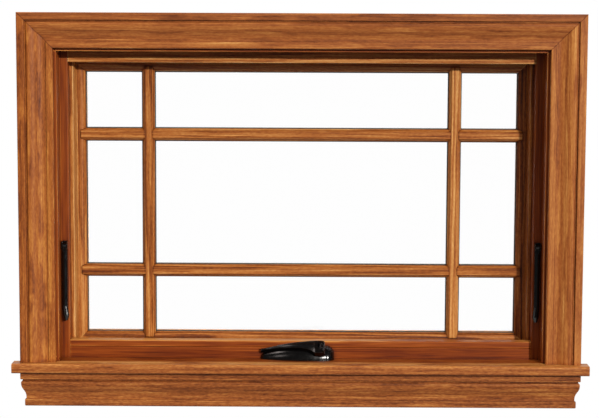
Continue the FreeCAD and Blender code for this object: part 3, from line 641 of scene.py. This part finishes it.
dressed = add(cords, "GeometryNodeSetMaterial", {
    "Geometry": swept, "Material": given["Material"],
}).outputs[0]
add(cords, "NodeGroupOutput", {"Geometry": dressed})
print("cord tree with", len(cords.nodes), "nodes")

# %% The cords as a plain mesh
CORD_TURN = 2.0 * MM        # radius of a cord's turn in a corner
carrier = bpy.data.objects.new("sealant_points", points)
scene.collection.objects.link(carrier)
maker = carrier.modifiers.new("sealant cords", "NODES")
maker.node_group = cords
maker[thickness.identifier] = CORD
maker[rounding.identifier] = CORD_TURN
maker[finish.identifier] = sealant_finish
evaluated = carrier.evaluated_get(bpy.context.evaluated_depsgraph_get())
sealant_mesh = bpy.data.meshes.new_from_object(evaluated)
sealant_mesh.name = "sealant_cords"
bpy.data.objects.remove(carrier)
sealant = bpy.data.objects.new("sealant_cords", sealant_mesh)
scene.collection.objects.link(sealant)
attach(sealant, "window")
print("sealant:", len(sealant_mesh.polygons), "faces")

# %% [markdown]
# ## Camera
# The photograph was taken about three metres away, a little above the middle, looking
# slightly down and with a small roll. A camera could be framed by eye, but its place was
# fitted to the edges of the casing, so that every board falls on its own pixels.

# %% Camera
PHOTO_WIDTH = 599                   # pixels
FOCAL_LENGTH = 1676                 # pixels, from the fit
SENSOR = 36.0                       # millimetres
STAND = (13, -3058, 628.5)          # millimetres
YAW, PITCH, ROLL = -0.30, -5.83, 0.24       # degrees


def aim(position, yaw, pitch, roll):
    """World matrix of a camera that looks along +Y before its turns, in degrees."""
    yaw, pitch, roll = (math.radians(angle) for angle in (yaw, pitch, roll))
    level = math.cos(pitch)
    ahead = Vector((math.sin(yaw) * level, math.cos(yaw) * level, math.sin(pitch)))
    right = Vector((math.cos(yaw), -math.sin(yaw), 0))
    up = right.cross(ahead)
    tilted = right * math.cos(roll) + up * math.sin(roll)
    top = up * math.cos(roll) - right * math.sin(roll)
    turn = Matrix((tilted, top, -ahead)).transposed().to_4x4()
    return Matrix.Translation(position) @ turn


lens = bpy.data.cameras.new("photo camera")
lens.sensor_fit = "HORIZONTAL"
lens.sensor_width = SENSOR
lens.lens = SENSOR * FOCAL_LENGTH / PHOTO_WIDTH
lens.clip_end = 50.0
camera = bpy.data.objects.new("photo camera", lens)
camera.matrix_world = aim(Vector(STAND) * MM, YAW, PITCH, ROLL)
scene.collection.objects.link(camera)
scene.camera = camera
print("camera at", [round(v, 3) for v in camera.location])

# %% [markdown]
# ## Key light
# Shadows in the recess say that one fairly hard light stands to the right of the camera
# and a little above it. A lamp near the window would shade it unevenly, and the photograph
# shows no such fall-off, so the light is a sun, a few degrees wide for soft shadow edges.

# %% Key light
ASIDE, HIGH, WIDTH = (math.radians(angle) for angle in (27, 17, 2.5))
sun = bpy.data.lights.new("key light", "SUN")
sun.energy = 3.1
sun.angle = WIDTH
sun.color = (1.0, 0.96, 0.9)
key = bpy.data.objects.new("key light", sun)
toward = Vector((-math.sin(ASIDE), math.cos(ASIDE), -math.tan(HIGH)))
key.rotation_euler = toward.to_track_quat("-Z", "Y").to_euler()
scene.collection.objects.link(key)
print("key light travels", [round(v, 2) for v in toward.normalized()])

# %% [markdown]
# ## Softboxes
# Black enamel shows its shape only by what it mirrors. Two small softboxes, one at the left
# and one overhead, draw the bright lines along the crank and the levers. They are weak, so
# they add little light to the wood.

# %% Softboxes
# place, width and height in metres, and watts
SOFTBOXES = [((-1.5, -2.1, 1.5), 0.4, 0.7, 4.0), ((-1.1, -0.4, 2.1), 0.5, 0.5, 5.0)]
crank_place = Vector((0.0, -0.05, 0.06))
for place, width, height, watts in SOFTBOXES:
    lamp = bpy.data.lights.new("softbox", "AREA")
    lamp.shape = "RECTANGLE"
    lamp.size, lamp.size_y = width, height
    lamp.energy = watts
    lamp.color = (1.0, 0.87, 0.81)
    softbox = bpy.data.objects.new("softbox", lamp)
    softbox.location = place
    beam = crank_place - Vector(place)
    softbox.rotation_euler = beam.to_track_quat("-Z", "Y").to_euler()
    scene.collection.objects.link(softbox)
    print("a softbox", round(beam.length, 2), "m from the crank")

# %% [markdown]
# ## Soft light and white background
# The rest of the light is soft. It is stronger from overhead, which is why the stool's top
# is as light as its front, and some comes through the glass from outdoors. One even world
# would light every face alike, so the strength follows the direction. The camera and the
# glass see plain white instead, and gloss sees white behind the window and a dim room.

# %% Soft light by direction
LEVEL_FILL, OVERHEAD_FILL, OUTDOOR_FILL = 0.14, 0.9, 0.6
world = bpy.data.worlds.new("white studio")
world.use_nodes = True
scene.world = world
tree = world.node_tree
tree.nodes.clear()
way = add(tree, "ShaderNodeTexCoord").outputs["Generated"]
heading = add(tree, "ShaderNodeSeparateXYZ", {0: way}).outputs
overhead = add(tree, "ShaderNodeMapRange", {
    "Value": heading["Z"], "From Min": 0.0, "From Max": 1.0,
    "To Min": LEVEL_FILL, "To Max": OVERHEAD_FILL,
}).outputs[0]
outdoors = add(tree, "ShaderNodeMapRange", {
    "Value": heading["Y"], "From Min": 0.0, "From Max": 0.4, "To Min": 0.0, "To Max": OUTDOOR_FILL,
}).outputs[0]
soft = add(tree, "ShaderNodeMath", {0: overhead, 1: outdoors}, operation="MAXIMUM").outputs[0]
fill = add(tree, "ShaderNodeBackground", {"Color": linear("fff6ec"), "Strength": soft}).outputs[0]
print("soft light from", LEVEL_FILL, "at the horizon to", OVERHEAD_FILL, "overhead")

# %% White background for camera, glass and gloss
ROOM_SHINE = 0.08       # what gloss sees of the room in front of the window
ray = add(tree, "ShaderNodeLightPath").outputs
behind = add(tree, "ShaderNodeMapRange", {
    "Value": heading["Y"], "From Min": 0.0, "From Max": 0.15, "To Min": ROOM_SHINE, "To Max": 1.0,
}).outputs[0]
shine = add(tree, "ShaderNodeBackground", {"Color": WHITE, "Strength": behind}).outputs[0]
white = add(tree, "ShaderNodeBackground", {"Color": WHITE, "Strength": 1.0}).outputs[0]
room = add(tree, "ShaderNodeMixShader", {0: ray["Is Glossy Ray"], 1: fill, 2: shine}).outputs[0]
seen = add(tree, "ShaderNodeMath", {
    0: ray["Is Camera Ray"], 1: ray["Is Transmission Ray"],
}, operation="MAXIMUM").outputs[0]
sky = add(tree, "ShaderNodeMixShader", {0: seen, 1: room, 2: white}).outputs[0]
add(tree, "ShaderNodeOutputWorld", {"Surface": sky})
scene.view_settings.view_transform = "Standard"
print("white background,", scene.view_settings.view_transform, "view")

# %% [markdown]
# ## Pale floor
# The photograph is cut out on white and shows no floor, so the floor lies below the view,
# more than a window's height under the frame. It is a wide disc that glows, and glows more
# towards its rim, so that it keeps a soft shadow near the middle and fades into the white
# background without an edge. A plain plane would end in a visible line.

# %% Pale floor paint
REACH = 3.4             # metres from the middle to the rim
FADED = 0.95 * REACH    # where floor and background are one
MOTTLE = 400            # millimetres
floor_material, tree = new_material("pale studio floor")
spot = add(tree, "ShaderNodeTexCoord").outputs["Object"]
mottle = add(tree, "ShaderNodeTexNoise", {
    "Vector": spot, "Scale": scale_of(MOTTLE), "Detail": 3.0,
}).outputs[0]
pale = add(tree, "ShaderNodeValToRGB", {"Fac": mottle},
           stops=[(0.3, "f1efeb"), (0.7, "f7f6f3")]).outputs["Color"]
flat = add(tree, "ShaderNodeVectorMath", {0: spot, 1: (1, 1, 0)}, operation="MULTIPLY").outputs[0]
away = add(tree, "ShaderNodeVectorMath", {0: flat}, operation="LENGTH").outputs["Value"]
share = add(tree, "ShaderNodeMapRange", {
    "Value": away, "From Min": 0.5, "From Max": FADED, "To Min": 0.8, "To Max": 1.0,
}).outputs[0]
rim = add(tree, "ShaderNodeMapRange", {
    "Value": away, "From Min": 1.0, "From Max": FADED,
}).outputs[0]
tint = add(tree, "ShaderNodeMix", {0: rim, 6: pale, 7: WHITE}, data_type="RGBA").outputs[2]
matt = add(tree, "ShaderNodeBsdfDiffuse", {"Color": pale}).outputs[0]
bright = add(tree, "ShaderNodeEmission", {"Color": tint, "Strength": 1.0}).outputs[0]
ground = add(tree, "ShaderNodeMixShader", {0: share, 1: matt, 2: bright}).outputs[0]
add(tree, "ShaderNodeOutputMaterial", {"Surface": ground})
print("the floor fades to white", round(FADED, 2), "m out")

# %% The floor disc
FLOOR = -0.9            # metres from the frame's foot
SIDES = 96
turns = [math.tau * side / SIDES for side in range(SIDES)]
floor_mesh = bpy.data.meshes.new("floor")
floor_mesh.from_pydata([
    (REACH * math.cos(turn), REACH * math.sin(turn), FLOOR) for turn in turns
], [], [tuple(range(SIDES))])
floor_mesh.materials.append(floor_material)
floor = bpy.data.objects.new("floor", floor_mesh)
floor.visible_diffuse = False       # the floor is seen, but the soft light is the world's alone
scene.collection.objects.link(floor)
print("floor", -FLOOR, "m below the frame's foot")
